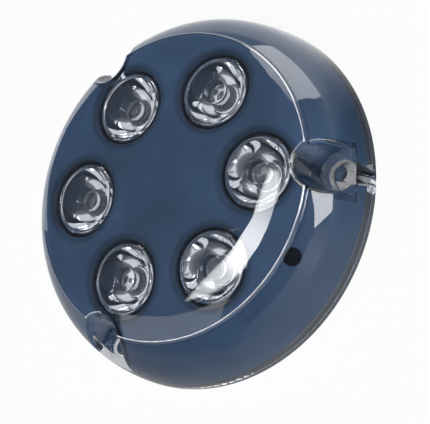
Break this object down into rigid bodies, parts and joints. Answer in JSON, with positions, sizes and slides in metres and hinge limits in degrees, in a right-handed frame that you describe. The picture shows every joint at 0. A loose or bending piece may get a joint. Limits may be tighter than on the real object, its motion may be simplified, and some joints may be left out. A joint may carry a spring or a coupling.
{
  "type": "surface-mounted underwater light",
  "caption": "Round surface-mounted underwater light: clear domed housing over a dark slate carrier with a ring of tilted optics, and screw recesses in its skirt.",
  "frame": {"origin": "centre of the mounting face, on the surface that the light is screwed to", "axes": "+Z along the beam, out of the front; +X through one of the three screw recesses"},
  "size_m": [0.13, 0.13, 0.031],
  "materials": {
    "clear_shell": "clear polycarbonate, polished, with a faint blue tint",
    "slate_carrier": "slate-blue moulded plastic, smooth satin",
    "clear_optic": "clear acrylic, polished",
    "black_holder": "black moulded plastic",
    "emitter_ceramic": "grey ceramic with a small emitting face",
    "emitter_gel": "clear silicone",
    "board_mask": "aluminium-core board, dark blue-grey solder mask",
    "green_board": "glass-epoxy board, green solder mask",
    "sink_aluminium": "machined aluminium",
    "screw_steel": "stainless steel",
    "pin_brass": "tinned brass",
    "seal_rubber": "black rubber",
    "pad_silicone": "grey silicone sheet",
    "component_black": "black moulded component",
    "component_tan": "tan ceramic component",
    "back_plastic": "dark grey moulded plastic, fine grain",
    "sealant": "dark grey sealing compound"
  },
  "bodies": {
    "root": {"clear_housing": "clear_shell", "optic_carrier": "slate_carrier", "fill_plug": "seal_rubber", "led_board": "board_mask", "thermal_pad": "pad_silicone", "heat_sink": "sink_aluminium", "board_screws": "screw_steel", "driver_board": "green_board", "driver_screws": "screw_steel", "driver_inductors": "component_black", "driver_capacitors": "component_tan", "driver_controller": "component_black", "driver_diodes": "component_black", "supply_terminal": "back_plastic", "link_pins": "pin_brass", "link_sleeves": "component_black", "back_plate": "back_plastic", "base_gasket": "seal_rubber", "rim_sealant": "sealant", "hull_seal": "seal_rubber", "base_screws": "screw_steel", "gland_seal": "seal_rubber", "gland_washer": "screw_steel", "gland_nut": "back_plastic", "optic_lens_1": "clear_optic", "lens_holder_1": "black_holder", "emitter_1": "emitter_ceramic", "emitter_dome_1": "emitter_gel", "optic_lens_2": "clear_optic", "lens_holder_2": "black_holder", "emitter_2": "emitter_ceramic", "emitter_dome_2": "emitter_gel", "optic_lens_3": "clear_optic", "lens_holder_3": "black_holder", "emitter_3": "emitter_ceramic", "emitter_dome_3": "emitter_gel", "optic_lens_4": "clear_optic", "lens_holder_4": "black_holder", "emitter_4": "emitter_ceramic", "emitter_dome_4": "emitter_gel", "optic_lens_5": "clear_optic", "lens_holder_5": "black_holder", "emitter_5": "emitter_ceramic", "emitter_dome_5": "emitter_gel", "optic_lens_6": "clear_optic", "lens_holder_6": "black_holder", "emitter_6": "emitter_ceramic", "emitter_dome_6": "emitter_gel"}
  },
  "joints": []
}
